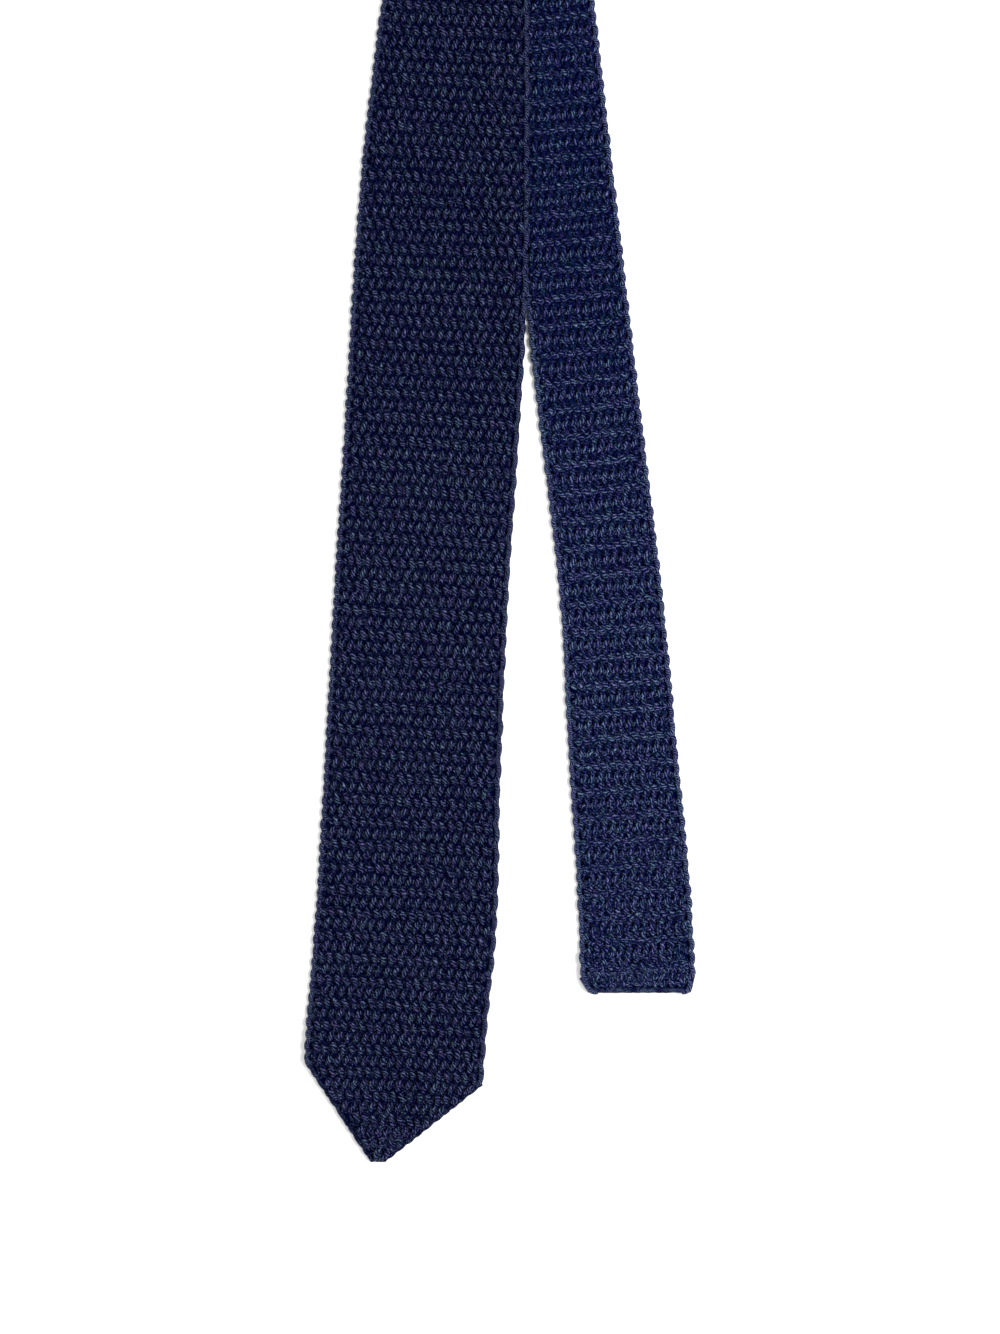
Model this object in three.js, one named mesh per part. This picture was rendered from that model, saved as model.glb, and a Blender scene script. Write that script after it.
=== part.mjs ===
import * as THREE from 'three';

// Knit tie lying flat, folded once across its neck band.
// The front blade lies over the tail blade near the fold, and the two legs part towards their ends.
// Millimetres. +X runs across the tie, +Y from the tip towards the fold, +Z up from the surface it lies on.

// Lengths of the two legs, each from its free end to the middle of the fold
const FRONT_LENGTH = 766.6;
const TAIL_LENGTH = 700.0;

// Widths of the knitted strip
const BLADE_WIDTH = 70.0;
const NECK_WIDTH = 39.0;
const TAIL_WIDTH = 44.3;

// The knit, its rounded edges and the clearance that neighbouring pieces keep
const KNIT_THICKNESS = 3.0;
const EDGE_RADIUS = 1.5;
const END_RIM = 0.35;
const GAP = 0.3;

// The pointed end: heights of its two shoulders above the tip, its blunt end and how far that lies off centre
const LEFT_SHOULDER = 39.2;
const RIGHT_SHOULDER = 30.2;
const BLUNT_WIDTH = 5.9;
const TIP_OFFSET = -4.6;

// The square end: how far each of its corners is drawn in, and over what height
const TAIL_CORNERS = {
  left: { across: 3.0, up: 5.4 },
  right: { across: 2.2, up: 8.0 },
};

// Hems turned under at both ends
const HEM_THICKNESS = 1.5;
const HEM_INSET = 0.7;
const TIP_HEM_WIDTH = 9.0;
const TAIL_HEM_WIDTH = 9.0;

// Seams between neck band and blades, as distances from the fold
const FRONT_SEAM = 288.0;
const TAIL_SEAM = 288.0;

// How softly the knit comes down beside what lies under it, and how open the fold stays
const DRAPE_RUN = 12.0;
const DRAPE_MARGIN = 2.0;
const HEM_MARGIN = 1.5;
const HEM_RUN = 10.0;
const FOLD_OPENING = 2.4;
const FOLD_RUN = 42.0;

// Sideways place of the fold, as a share of the blade's width
const FOLD_SHIFT = 0.201;

// Front leg, row by row from tip to fold.
// along: share of the leg's length. shift: sideways place as a share of the blade's width.
// flare: 0 at the neck's width, 1 at the blade's width.
const FRONT_ROWS = [
  { along: 0.0, shift: -0.3, flare: 0.975 },
  { along: 0.083, shift: -0.251, flare: 1.0 },
  { along: 0.185, shift: -0.196, flare: 0.97 },
  { along: 0.287, shift: -0.137, flare: 0.955 },
  { along: 0.389, shift: -0.064, flare: 0.965 },
  { along: 0.45, shift: -0.028, flare: 0.955 },
  { along: 0.508, shift: 0.0, flare: 0.865 },
  { along: 0.58, shift: 0.047, flare: 0.66 },
  { along: 0.66, shift: 0.098, flare: 0.34 },
  { along: 0.74, shift: 0.137, flare: 0.09 },
  { along: 0.82, shift: 0.168, flare: 0.0 },
  { along: 1.0, shift: FOLD_SHIFT, flare: 0.0 },
];

// Tail leg, row by row from its square end to the fold, with the same columns.
// Here flare runs from the neck's width at 0 to the tail's width at 1.
const TAIL_ROWS = [
  { along: 0.0, shift: 1.093, flare: 1.0 },
  { along: 0.018, shift: 1.083, flare: 1.0 },
  { along: 0.108, shift: 1.024, flare: 0.77 },
  { along: 0.219, shift: 0.931, flare: 0.34 },
  { along: 0.331, shift: 0.806, flare: 0.04 },
  { along: 0.462, shift: 0.66, flare: 0.03 },
  { along: 0.596, shift: 0.511, flare: 0.0 },
  { along: 0.731, shift: 0.356, flare: 0.0 },
  { along: 0.865, shift: 0.24, flare: 0.0 },
  { along: 1.0, shift: FOLD_SHIFT, flare: 0.0 },
];

// How finely the knitted strip is divided
const POINT_STEPS = 9;
const SHOULDER_STEPS = 3;
const HEM_STEPS = 6;
const FRONT_STEPS = 34;
const TAIL_STEPS = 22;
const NECK_UPPER_STEPS = 22;
const NECK_LOWER_STEPS = 14;
const BEND_STEPS = 9;
const BLADE_LANES = 15;
const STRIP_LANES = 10;

// Heights that follow from the sizes above
const TAIL_END = FRONT_LENGTH - TAIL_LENGTH;
const LAYER_LIFT = KNIT_THICKNESS + GAP;
const HEM_LIFT = HEM_THICKNESS + GAP;
const BEND_RADIUS = (KNIT_THICKNESS + FOLD_OPENING) / 2;
const BEND_HEIGHT = KNIT_THICKNESS / 2 + BEND_RADIUS;

// Eases from 0 to 1 as the value goes from 0 to 1, and stays level outside that range.
function ease(value) {
  const t = Math.min(Math.max(value, 0), 1);
  return t * t * (3 - 2 * t);
}

// Smooth curve through one column of a table of rows.
function column(rows, key, share) {
  const last = rows.length - 1;
  let i = 0;
  while (i < last - 1 && share > rows[i + 1].along) {
    i += 1;
  }
  const slope = (a, b) => (rows[b][key] - rows[a][key]) / (rows[b].along - rows[a].along);
  const inner = slope(i, i + 1);
  const before = i > 0 ? (slope(i - 1, i) + inner) / 2 : inner;
  const after = i < last - 1 ? (inner + slope(i + 1, i + 2)) / 2 : 0;
  const span = rows[i + 1].along - rows[i].along;
  const t = Math.min(Math.max((share - rows[i].along) / span, 0), 1);
  const rise = rows[i + 1][key] - rows[i][key];
  const bow = t * (1 - t) * (1 - t) * span * (before - inner) - t * t * (1 - t) * span * (after - inner);
  return rows[i][key] + rise * t + bow;
}

// Sideways place of the front leg's middle at a given y.
function frontCentre(y) {
  return column(FRONT_ROWS, 'shift', y / FRONT_LENGTH) * BLADE_WIDTH;
}

// Half the front leg's width at a given y, as if its point were not cut.
function frontHalf(y) {
  const flare = column(FRONT_ROWS, 'flare', y / FRONT_LENGTH);
  return (NECK_WIDTH + flare * (BLADE_WIDTH - NECK_WIDTH)) / 2;
}

// Corners of the pointed end.
function tipCorners() {
  const tipX = frontCentre(0) + TIP_OFFSET;
  const leftX = frontCentre(LEFT_SHOULDER) - frontHalf(LEFT_SHOULDER);
  const rightX = frontCentre(RIGHT_SHOULDER) + frontHalf(RIGHT_SHOULDER);
  return {
    leftShoulder: new THREE.Vector2(leftX, LEFT_SHOULDER),
    rightShoulder: new THREE.Vector2(rightX, RIGHT_SHOULDER),
    bluntLeft: new THREE.Vector2(tipX - BLUNT_WIDTH / 2, 0),
    bluntRight: new THREE.Vector2(tipX + BLUNT_WIDTH / 2, 0),
  };
}

// Left and right edges of the front leg at a given y, drawn in to the point below the shoulders.
function frontEdges(y) {
  const edges = { left: frontCentre(y) - frontHalf(y), right: frontCentre(y) + frontHalf(y) };
  const tip = tipCorners();
  if (y < LEFT_SHOULDER) {
    edges.left = tip.bluntLeft.x + ((tip.leftShoulder.x - tip.bluntLeft.x) * y) / LEFT_SHOULDER;
  }
  if (y < RIGHT_SHOULDER) {
    edges.right = tip.bluntRight.x + ((tip.rightShoulder.x - tip.bluntRight.x) * y) / RIGHT_SHOULDER;
  }
  return edges;
}

// Left and right edges of the tail leg at a given y, with its corners drawn in.
function tailEdges(y) {
  const share = (y - TAIL_END) / TAIL_LENGTH;
  const centre = column(TAIL_ROWS, 'shift', share) * BLADE_WIDTH;
  const half = (NECK_WIDTH + column(TAIL_ROWS, 'flare', share) * (TAIL_WIDTH - NECK_WIDTH)) / 2;
  const drawnIn = (corner) => corner.across * Math.max(1 - (y - TAIL_END) / corner.up, 0);
  return {
    left: centre - half + drawnIn(TAIL_CORNERS.left),
    right: centre + half - drawnIn(TAIL_CORNERS.right),
  };
}

// Distance of a point from the straight edge between two others.
function distanceToEdge(x, y, a, b) {
  const dx = b.x - a.x;
  const dy = b.y - a.y;
  const share = ((x - a.x) * dx + (y - a.y) * dy) / (dx * dx + dy * dy);
  const along = Math.min(Math.max(share, 0), 1);
  return Math.hypot(x - a.x - along * dx, y - a.y - along * dy);
}

// How far the knit is lifted at a distance from an edge that has a hem of a given width under it.
function liftOverHem(distance, width) {
  return HEM_LIFT * ease(1 - (distance - width - HEM_INSET - HEM_MARGIN) / HEM_RUN);
}

// Height of the front leg's underside: over the tail near the fold, over the hems at the point.
function frontUnderside(x, y) {
  const inside = x - tailEdges(Math.max(y, TAIL_END)).left + DRAPE_MARGIN;
  const overTail = LAYER_LIFT * ease(1 + inside / DRAPE_RUN);
  const openFold = (FOLD_OPENING - GAP) * ease(1 - (FRONT_LENGTH - y) / FOLD_RUN);
  const tip = tipCorners();
  const slant = Math.min(
    distanceToEdge(x, y, tip.bluntLeft, tip.leftShoulder),
    distanceToEdge(x, y, tip.bluntRight, tip.rightShoulder),
  );
  const overHem = liftOverHem(slant, TIP_HEM_WIDTH);
  return Math.max(overTail, overHem) + openFold;
}

// Height of the tail leg's underside, which rises over its hem.
function tailUnderside(x, y) {
  return liftOverHem(y - TAIL_END, TAIL_HEM_WIDTH);
}

// Half thickness of the knit at a distance from its nearest edge, which is rounded.
function halfThickness(distance) {
  const short = 1 - Math.min(distance / EDGE_RADIUS, 1);
  return (KNIT_THICKNESS / 2) * Math.sqrt(1 - short * short);
}

// Distances from the left edge at which the strip is divided, finer at both rounded edges.
function lanes(width, count) {
  const radius = Math.min(EDGE_RADIUS, width / 4);
  const bevel = radius * (1 - Math.SQRT1_2);
  const places = [0, bevel];
  for (let i = 0; i <= count; i += 1) {
    places.push(radius + ((width - 2 * radius) * i) / count);
  }
  places.push(width - bevel, width);
  return places;
}

// One section of a leg at a given y, as a list of lanes with their lower and upper points.
function legSection(y, edgesAt, undersideAt, laneCount, fromEnd) {
  const edges = edgesAt(y);
  const width = edges.right - edges.left;
  const rim = Math.max(halfThickness(fromEnd) / (KNIT_THICKNESS / 2), END_RIM);
  return lanes(width, laneCount).map((place) => {
    const x = edges.left + place;
    const middle = undersideAt(x, y) + KNIT_THICKNESS / 2;
    const half = halfThickness(Math.min(place, width - place)) * rim;
    return {
      lower: new THREE.Vector3(x, y, middle - half),
      upper: new THREE.Vector3(x, y, middle + half),
    };
  });
}

// One section of the fold. The turn goes from 0 on the lower leg to 1 on the upper one.
function bendSection(turn, laneCount) {
  const angle = Math.PI * (turn - 0.5);
  const edges = frontEdges(FRONT_LENGTH);
  const width = edges.right - edges.left;
  const at = (x, radius) => new THREE.Vector3(
    x,
    FRONT_LENGTH + radius * Math.cos(angle),
    BEND_HEIGHT + radius * Math.sin(angle),
  );
  return lanes(width, laneCount).map((place) => {
    const x = edges.left + place;
    const half = halfThickness(Math.min(place, width - place));
    return { lower: at(x, BEND_RADIUS + half), upper: at(x, BEND_RADIUS - half) };
  });
}

// The other way up, for sections of the upper leg that follow a fold.
function flipped(section) {
  return section.map((lane) => ({ lower: lane.upper, upper: lane.lower }));
}

// Closed solid through a row of sections: lower side from left to right, upper side back again.
function loft(sections) {
  const positions = [];
  const loops = sections.map((section) => {
    const inner = section.slice(1, -1).reverse();
    return [...section.map((lane) => lane.lower), ...inner.map((lane) => lane.upper)];
  });
  const size = loops[0].length;
  const laneTotal = sections[0].length;
  const triangle = (a, b, c) => positions.push(...a.toArray(), ...b.toArray(), ...c.toArray());
  for (let i = 0; i + 1 < loops.length; i += 1) {
    for (let j = 0; j < size; j += 1) {
      const k = (j + 1) % size;
      triangle(loops[i][j], loops[i + 1][j], loops[i][k]);
      triangle(loops[i][k], loops[i + 1][j], loops[i + 1][k]);
    }
  }
  const cap = (loop, turned) => {
    const face = (a, b, c) => (turned ? triangle(a, c, b) : triangle(a, b, c));
    for (let j = 0; j + 1 < laneTotal; j += 1) {
      const low = loop[j];
      const lowNext = loop[j + 1];
      const high = j === 0 ? low : loop[size - j];
      const highNext = j + 2 === laneTotal ? lowNext : loop[size - j - 1];
      if (high !== low) {
        face(low, high, lowNext);
      }
      if (highNext !== lowNext) {
        face(lowNext, high, highNext);
      }
    }
  };
  cap(loops[0], true);
  cap(loops[loops.length - 1], false);
  const geometry = new THREE.BufferGeometry();
  geometry.setAttribute('position', new THREE.Float32BufferAttribute(positions, 3));
  geometry.computeVertexNormals();
  return geometry;
}

// Even steps from one y to another, both ends included.
function evenSteps(from, to, count) {
  return Array.from({ length: count + 1 }, (_, i) => from + ((to - from) * i) / count);
}

// Steps up a free-ended leg: close together round its end, then even between landmarks.
function endedSteps(end, landmarks) {
  const bevel = EDGE_RADIUS * (1 - Math.SQRT1_2);
  const steps = [end, end + bevel, end + EDGE_RADIUS];
  landmarks.forEach(({ y, count }) => {
    steps.push(...evenSteps(steps[steps.length - 1], y, count).slice(1));
  });
  return steps;
}

// The pointed front blade.
function frontBlade() {
  const steps = endedSteps(0, [
    { y: RIGHT_SHOULDER, count: POINT_STEPS },
    { y: LEFT_SHOULDER, count: SHOULDER_STEPS },
    { y: LEFT_SHOULDER + TIP_HEM_WIDTH + HEM_MARGIN + HEM_RUN, count: HEM_STEPS },
    { y: FRONT_LENGTH - FRONT_SEAM - GAP / 2, count: FRONT_STEPS },
  ]);
  return loft(steps.map((y) => legSection(y, frontEdges, frontUnderside, BLADE_LANES, y)));
}

// The square-ended tail blade.
function tailBlade() {
  const hemTop = TAIL_HEM_WIDTH + HEM_INSET + HEM_MARGIN;
  const steps = endedSteps(TAIL_END, [
    { y: TAIL_END + TAIL_CORNERS.left.up, count: SHOULDER_STEPS },
    { y: TAIL_END + TAIL_CORNERS.right.up, count: 1 },
    { y: TAIL_END + hemTop, count: 1 },
    { y: TAIL_END + hemTop + HEM_RUN, count: HEM_STEPS },
    { y: FRONT_LENGTH - TAIL_SEAM - GAP / 2, count: TAIL_STEPS },
  ]);
  return loft(steps.map((y) => legSection(y, tailEdges, tailUnderside, STRIP_LANES, y - TAIL_END)));
}

// The neck band: up the lower leg, round the fold and back down the upper leg.
function neckBand() {
  const far = FRONT_LENGTH;
  const lowerFrom = FRONT_LENGTH - TAIL_SEAM + GAP / 2;
  const upperTo = FRONT_LENGTH - FRONT_SEAM + GAP / 2;
  const lower = evenSteps(lowerFrom, FRONT_LENGTH, NECK_LOWER_STEPS).slice(0, -1);
  const upper = evenSteps(FRONT_LENGTH, upperTo, NECK_UPPER_STEPS).slice(1);
  const turns = evenSteps(0, 1, BEND_STEPS);
  return loft([
    ...lower.map((y) => legSection(y, tailEdges, tailUnderside, STRIP_LANES, far)),
    ...turns.map((turn) => bendSection(turn, STRIP_LANES)),
    ...upper.map((y) => flipped(legSection(y, frontEdges, frontUnderside, STRIP_LANES, far))),
  ]);
}

// A straight line through two points, moved sideways to its left by a distance.
function movedLine(from, to, distance) {
  const along = new THREE.Vector2().subVectors(to, from).normalize();
  const side = new THREE.Vector2(-along.y, along.x).multiplyScalar(distance);
  return { point: from.clone().add(side), along };
}

// Where two straight lines cross.
function crossing(a, b) {
  const between = new THREE.Vector2().subVectors(b.point, a.point);
  const reach = between.cross(b.along) / a.along.cross(b.along);
  return a.point.clone().addScaledVector(a.along, reach);
}

// Flat hem of a given outline, lying under the edge that it finishes.
function hem(outline) {
  const shape = new THREE.Shape(outline);
  return new THREE.ExtrudeGeometry(shape, { depth: HEM_THICKNESS, bevelEnabled: false });
}

// Hem along one slant of the point. Both hems meet on the line that halves the point's angle.
function tipHem(side) {
  const tip = tipCorners();
  const isLeft = side === 'left';
  const shoulder = isLeft ? tip.leftShoulder : tip.rightShoulder;
  const blunt = isLeft ? tip.bluntLeft : tip.bluntRight;
  const turn = isLeft ? -1 : 1;
  const leftSlant = movedLine(tip.bluntLeft, tip.leftShoulder, 0);
  const rightSlant = movedLine(tip.bluntRight, tip.rightShoulder, 0);
  const apex = crossing(leftSlant, rightSlant);
  const middle = leftSlant.along.clone().add(rightSlant.along).add(apex);
  const outer = movedLine(blunt, shoulder, turn * HEM_INSET);
  const inner = movedLine(blunt, shoulder, turn * (HEM_INSET + TIP_HEM_WIDTH));
  const across = new THREE.Vector2(-outer.along.y, outer.along.x);
  const square = { point: shoulder.clone().addScaledVector(outer.along, -HEM_INSET), along: across };
  const end = movedLine(tip.bluntLeft, tip.bluntRight, HEM_INSET);
  const mitre = movedLine(apex, middle, (-turn * GAP) / 2);
  return hem([
    crossing(outer, square),
    crossing(outer, end),
    crossing(end, mitre),
    crossing(mitre, inner),
    crossing(inner, square),
  ]);
}

// Hem under the square end, inside the drawn-in corners.
function tailHem() {
  const low = TAIL_END + HEM_INSET;
  const high = low + TAIL_HEM_WIDTH;
  const leftKnee = Math.min(TAIL_END + TAIL_CORNERS.left.up, high);
  const rightKnee = Math.min(TAIL_END + TAIL_CORNERS.right.up, high);
  const at = (side, y) => tailEdges(y)[side] + (side === 'left' ? HEM_INSET : -HEM_INSET);
  return hem([
    new THREE.Vector2(at('left', low), low),
    new THREE.Vector2(at('right', low), low),
    new THREE.Vector2(at('right', rightKnee), rightKnee),
    new THREE.Vector2(at('right', high), high),
    new THREE.Vector2(at('left', high), high),
    new THREE.Vector2(at('left', leftKnee), leftKnee),
  ]);
}

// Silk yarn, dyed navy. The tail shows the paler reverse of the knit.
const frontSilk = new THREE.MeshStandardMaterial({ color: '#1c2139', roughness: 0.62, metalness: 0 });
const neckSilk = new THREE.MeshStandardMaterial({ color: '#1a1f38', roughness: 0.62, metalness: 0 });
const tailSilk = new THREE.MeshStandardMaterial({ color: '#232b47', roughness: 0.6, metalness: 0 });
const hemSilk = new THREE.MeshStandardMaterial({ color: '#1e2340', roughness: 0.65, metalness: 0 });

// A named sub-part of the tie.
function subPart(name, geometry, material) {
  const mesh = new THREE.Mesh(geometry, material);
  mesh.name = name;
  return mesh;
}

const tie = new THREE.Group();
tie.add(subPart('front_blade', frontBlade(), frontSilk));
tie.add(subPart('neck_band', neckBand(), neckSilk));
tie.add(subPart('tail_blade', tailBlade(), tailSilk));
tie.add(subPart('tip_hem_left', tipHem('left'), hemSilk));
tie.add(subPart('tip_hem_right', tipHem('right'), hemSilk));
tie.add(subPart('tail_hem', tailHem(), hemSilk));

// The origin lies on the floor under the middle of the whole tie.
const reach = new THREE.Box3().setFromObject(tie);
const middleOfTie = reach.getCenter(new THREE.Vector3());
tie.position.set(-middleOfTie.x, -middleOfTie.y, -reach.min.z);

export default tie;
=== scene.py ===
"""Knit tie: silk crochet knit, laid flat and folded once across its neck band.

The knit is made of yarn. Each row is laid stitch by stitch from short tables of points,
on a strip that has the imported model's thickness and lay, and its outline but for gentle waves.
Lengths are millimetres until a mesh is made, which is in metres.
"""

import logging
import math
from dataclasses import dataclass, field
from enum import Enum

import bpy
import numpy as np
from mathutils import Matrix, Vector


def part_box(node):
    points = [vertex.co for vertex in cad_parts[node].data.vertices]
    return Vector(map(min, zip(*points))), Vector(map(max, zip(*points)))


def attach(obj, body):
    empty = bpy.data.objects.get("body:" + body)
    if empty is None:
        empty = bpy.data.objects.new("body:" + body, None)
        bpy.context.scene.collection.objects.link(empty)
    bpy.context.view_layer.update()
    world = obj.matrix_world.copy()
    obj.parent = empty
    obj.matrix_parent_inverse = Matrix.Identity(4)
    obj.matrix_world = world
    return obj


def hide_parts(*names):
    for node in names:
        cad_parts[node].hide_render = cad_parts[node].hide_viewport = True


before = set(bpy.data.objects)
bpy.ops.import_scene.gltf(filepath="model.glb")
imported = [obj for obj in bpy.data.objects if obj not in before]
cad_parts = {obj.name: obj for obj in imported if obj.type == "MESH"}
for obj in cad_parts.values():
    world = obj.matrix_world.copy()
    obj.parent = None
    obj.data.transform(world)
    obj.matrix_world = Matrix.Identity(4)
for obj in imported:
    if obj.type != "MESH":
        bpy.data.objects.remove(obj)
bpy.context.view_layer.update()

MM = 0.001
PHOTO_WIDTH = 1000
PHOTO_HEIGHT = 1334

log = logging.getLogger("knit_tie")


class Leg(Enum):
    """The two legs of the folded tie."""

    FRONT = "front"
    TAIL = "tail"


class Side(Enum):
    """The two long edges of a leg."""

    LEFT = -1
    RIGHT = 1


def linear(hex_colour: str) -> tuple[float, float, float, float]:
    """Turn an sRGB hex colour into the linear colour that shaders take.

    Args:
        hex_colour: six hex digits after a hash sign.

    Returns:
        Red, green, blue and an alpha of one.
    """
    channels = [int(hex_colour[i:i + 2], 16) / 255 for i in (1, 3, 5)]
    curved = [c / 12.92 if c <= 0.04045 else ((c + 0.055) / 1.055) ** 2.4 for c in channels]
    return (curved[0], curved[1], curved[2], 1.0)


def ease(value: np.ndarray) -> np.ndarray:
    """Ease from 0 to 1 as the value goes from 0 to 1, level outside that range."""
    t = np.clip(value, 0.0, 1.0)
    return t * t * (3.0 - 2.0 * t)


def add_node(tree: bpy.types.NodeTree, kind: str, settings: dict | None = None,
             inputs: dict | None = None, links: dict | None = None) -> bpy.types.Node:
    """Add one node with its settings, its fixed inputs and the links into it.

    Args:
        tree: the node tree that gets the node.
        kind: the node's type name.
        settings: attributes of the node.
        inputs: values of its input sockets, by name or number.
        links: output sockets that feed its inputs, by name or number.

    Returns:
        The new node.
    """
    node = tree.nodes.new(kind)
    for name, value in (settings or {}).items():
        setattr(node, name, value)
    for name, value in (inputs or {}).items():
        node.inputs[name].default_value = value
    for name, socket in (links or {}).items():
        tree.links.new(socket, node.inputs[name])
    return node


def new_material(name: str, roughness: float) -> tuple[bpy.types.Material, bpy.types.Node]:
    """Make a material with its shader.

    Args:
        name: what the material is.
        roughness: how rough its surface is.

    Returns:
        The material and its shader node.
    """
    material = bpy.data.materials.new(name)
    material.use_nodes = True
    shader = material.node_tree.nodes["Principled BSDF"]
    shader.inputs["Roughness"].default_value = roughness
    return material, shader


def put_in_scene(name: str, data: bpy.types.ID) -> bpy.types.Object:
    """Make an object of some data and link it to the scene."""
    thing = bpy.data.objects.new(name, data)
    bpy.context.scene.collection.objects.link(thing)
    return thing


def dress_piece(piece: bpy.types.Object, finish: bpy.types.Material, slot: str) -> None:
    """Give a piece its finish and its place in the model, and report it.

    Args:
        piece: the piece.
        finish: its material.
        slot: not used.
    """
    piece.data.materials.append(finish)
    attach(piece, "root")
    log.info("%s: %d triangles", piece.name, 2 * len(piece.data.polygons))


# Finishes


@dataclass(frozen=True)
class PliedSilk:
    """Silk yarn of a few plies twisted together, dyed navy and crochet-knitted.

    Its plies catch the light as short slanting strokes; the grooves between them are painted dark, as
    painted shade.
    Single filaments are too fine to show, so the uneven dye of their bundles stands for them.
    """

    name: str
    ply_colour: str
    deep_dye_and_shade_colour: str
    groove_shade_colour: str
    plies: float = 4.0
    turn_mm: float = 5.0
    ply_height_mm: float = 0.44
    roughness: float = 0.34
    gloss: float = 0.56
    groove_gloss: float = 0.05
    gloss_tint: str = "#c6cef2"
    unevenness: float = 1.6
    unevenness_mm: float = 1.6
    fibre_mm: float = 0.8
    fibre_spread: float = 0.8
    groove_end: float = 0.17
    ply_top: float = 0.45

    def build(self) -> bpy.types.Material:
        """Make the material from the yarn's own coordinates.

        Returns:
            The material, named for the yarn.
        """
        material, shader = new_material(self.name, self.roughness)
        tree = material.node_tree
        shader.inputs["Specular Tint"].default_value = linear(self.gloss_tint)
        yarn = add_node(tree, "ShaderNodeUVMap", {"uv_map": "yarn"})
        parts = add_node(tree, "ShaderNodeSeparateXYZ", links={0: yarn.outputs[0]})
        place = add_node(tree, "ShaderNodeTexCoord")
        uneven, fibre = (
            add_node(tree, "ShaderNodeTexNoise", inputs={"Scale": 1.0 / (size * MM), "Detail": 1.0},
                     links={"Vector": place.outputs["Object"]})
            for size in (self.unevenness_mm, self.fibre_mm)
        )
        sway = add_node(tree, "ShaderNodeMath", {"operation": "MULTIPLY"},
                        {1: self.unevenness}, {0: uneven.outputs["Fac"]})
        wind = add_node(tree, "ShaderNodeMath", {"operation": "MULTIPLY_ADD"},
                        {1: -self.plies / self.turn_mm},
                        {0: parts.outputs[1], 2: sway.outputs[0]})
        strand = add_node(tree, "ShaderNodeMath", {"operation": "MULTIPLY_ADD"},
                          {1: self.plies}, {0: parts.outputs[0], 2: wind.outputs[0]})
        fold = add_node(tree, "ShaderNodeMath", {"operation": "PINGPONG"},
                        {1: 0.5}, {0: strand.outputs[0]})
        round_ply = add_node(tree, "ShaderNodeMapRange", {"interpolation_type": "SMOOTHSTEP"},
                             {1: self.groove_end, 2: self.ply_top}, {0: fold.outputs[0]})
        shade = add_node(tree, "ShaderNodeAttribute", {"attribute_name": "shade"})
        spread = add_node(tree, "ShaderNodeMapRange",
                          inputs={1: 0.3, 2: 0.7, 3: -self.fibre_spread, 4: self.fibre_spread},
                          links={0: fibre.outputs["Fac"]})
        depth = add_node(tree, "ShaderNodeMath", {"operation": "ADD", "use_clamp": True},
                         links={0: shade.outputs["Fac"], 1: spread.outputs[0]})
        # The yarn runs from its deep colour to its ply colour with the shade attribute: tone that
        # differs at random, with painted shade and painted light.
        dye = add_node(tree, "ShaderNodeMix", {"data_type": "RGBA"},
                       {6: linear(self.deep_dye_and_shade_colour), 7: linear(self.ply_colour)},
                       {0: depth.outputs[0]})
        tint = add_node(tree, "ShaderNodeAttribute", {"attribute_name": "tint"})
        hue = add_node(tree, "ShaderNodeHueSaturation", links={"Hue": tint.outputs["Fac"],
                                                               "Color": dye.outputs[2]})
        # Painted shade: the grooves between the plies are painted in a dark colour.
        groove = add_node(tree, "ShaderNodeMix", {"data_type": "RGBA"},
                          {6: linear(self.groove_shade_colour)},
                          {0: round_ply.outputs[0], 7: hue.outputs[0]})
        tree.links.new(groove.outputs[2], shader.inputs["Base Color"])
        # Painted shade on the gloss: less gloss in the grooves and where the yarn is painted darker.
        raised = add_node(tree, "ShaderNodeMath", {"operation": "MULTIPLY"},
                          links={0: round_ply.outputs[0], 1: depth.outputs[0]})
        shine = add_node(tree, "ShaderNodeMapRange", inputs={3: self.groove_gloss, 4: self.gloss},
                         links={0: raised.outputs[0]})
        tree.links.new(shine.outputs[0], shader.inputs["Specular IOR Level"])
        bump = add_node(tree, "ShaderNodeBump", inputs={"Strength": 1.0,
                                                        "Distance": self.ply_height_mm * MM},
                        links={"Height": round_ply.outputs[0]})
        tree.links.new(bump.outputs[0], shader.inputs["Normal"])
        return material


@dataclass(frozen=True)
class PackedYarn:
    """The yarn packed inside the knit, where hardly any light reaches it.

    Its colour is far darker than the yarn's own navy, as painted shade, and gives the holes between the
    stitches their deep navy.
    """

    name: str
    colour: str
    thread_mm: float = 1.7
    sway: float = 2.0
    dim_share: float = 0.4
    relief: float = 0.8
    relief_mm: float = 0.3

    def build(self) -> bpy.types.Material:
        """Make the material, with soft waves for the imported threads.

        A wave is two pi threads long, so it stands for a group of threads and not for one.

        Returns:
            The material, named for what it is.
        """
        material, shader = new_material(self.name, 0.9)
        tree = material.node_tree
        shader.inputs["Specular IOR Level"].default_value = 0.0
        place = add_node(tree, "ShaderNodeTexCoord")
        wave = add_node(tree, "ShaderNodeTexWave",
                        inputs={"Scale": 1.0 / (self.thread_mm * MM * 20.0), "Distortion": self.sway},
                        links={"Vector": place.outputs["Object"]})
        colour = linear(self.colour)
        dim = tuple(self.dim_share * c for c in colour[:3]) + (1.0,)
        mix = add_node(tree, "ShaderNodeMix", {"data_type": "RGBA"}, {6: dim, 7: colour},
                       {0: wave.outputs["Fac"]})
        tree.links.new(mix.outputs[2], shader.inputs["Base Color"])
        bump = add_node(tree, "ShaderNodeBump",
                        inputs={"Strength": self.relief, "Distance": self.relief_mm * MM},
                        links={"Height": wave.outputs["Fac"]})
        tree.links.new(bump.outputs[0], shader.inputs["Normal"])
        return material


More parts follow.
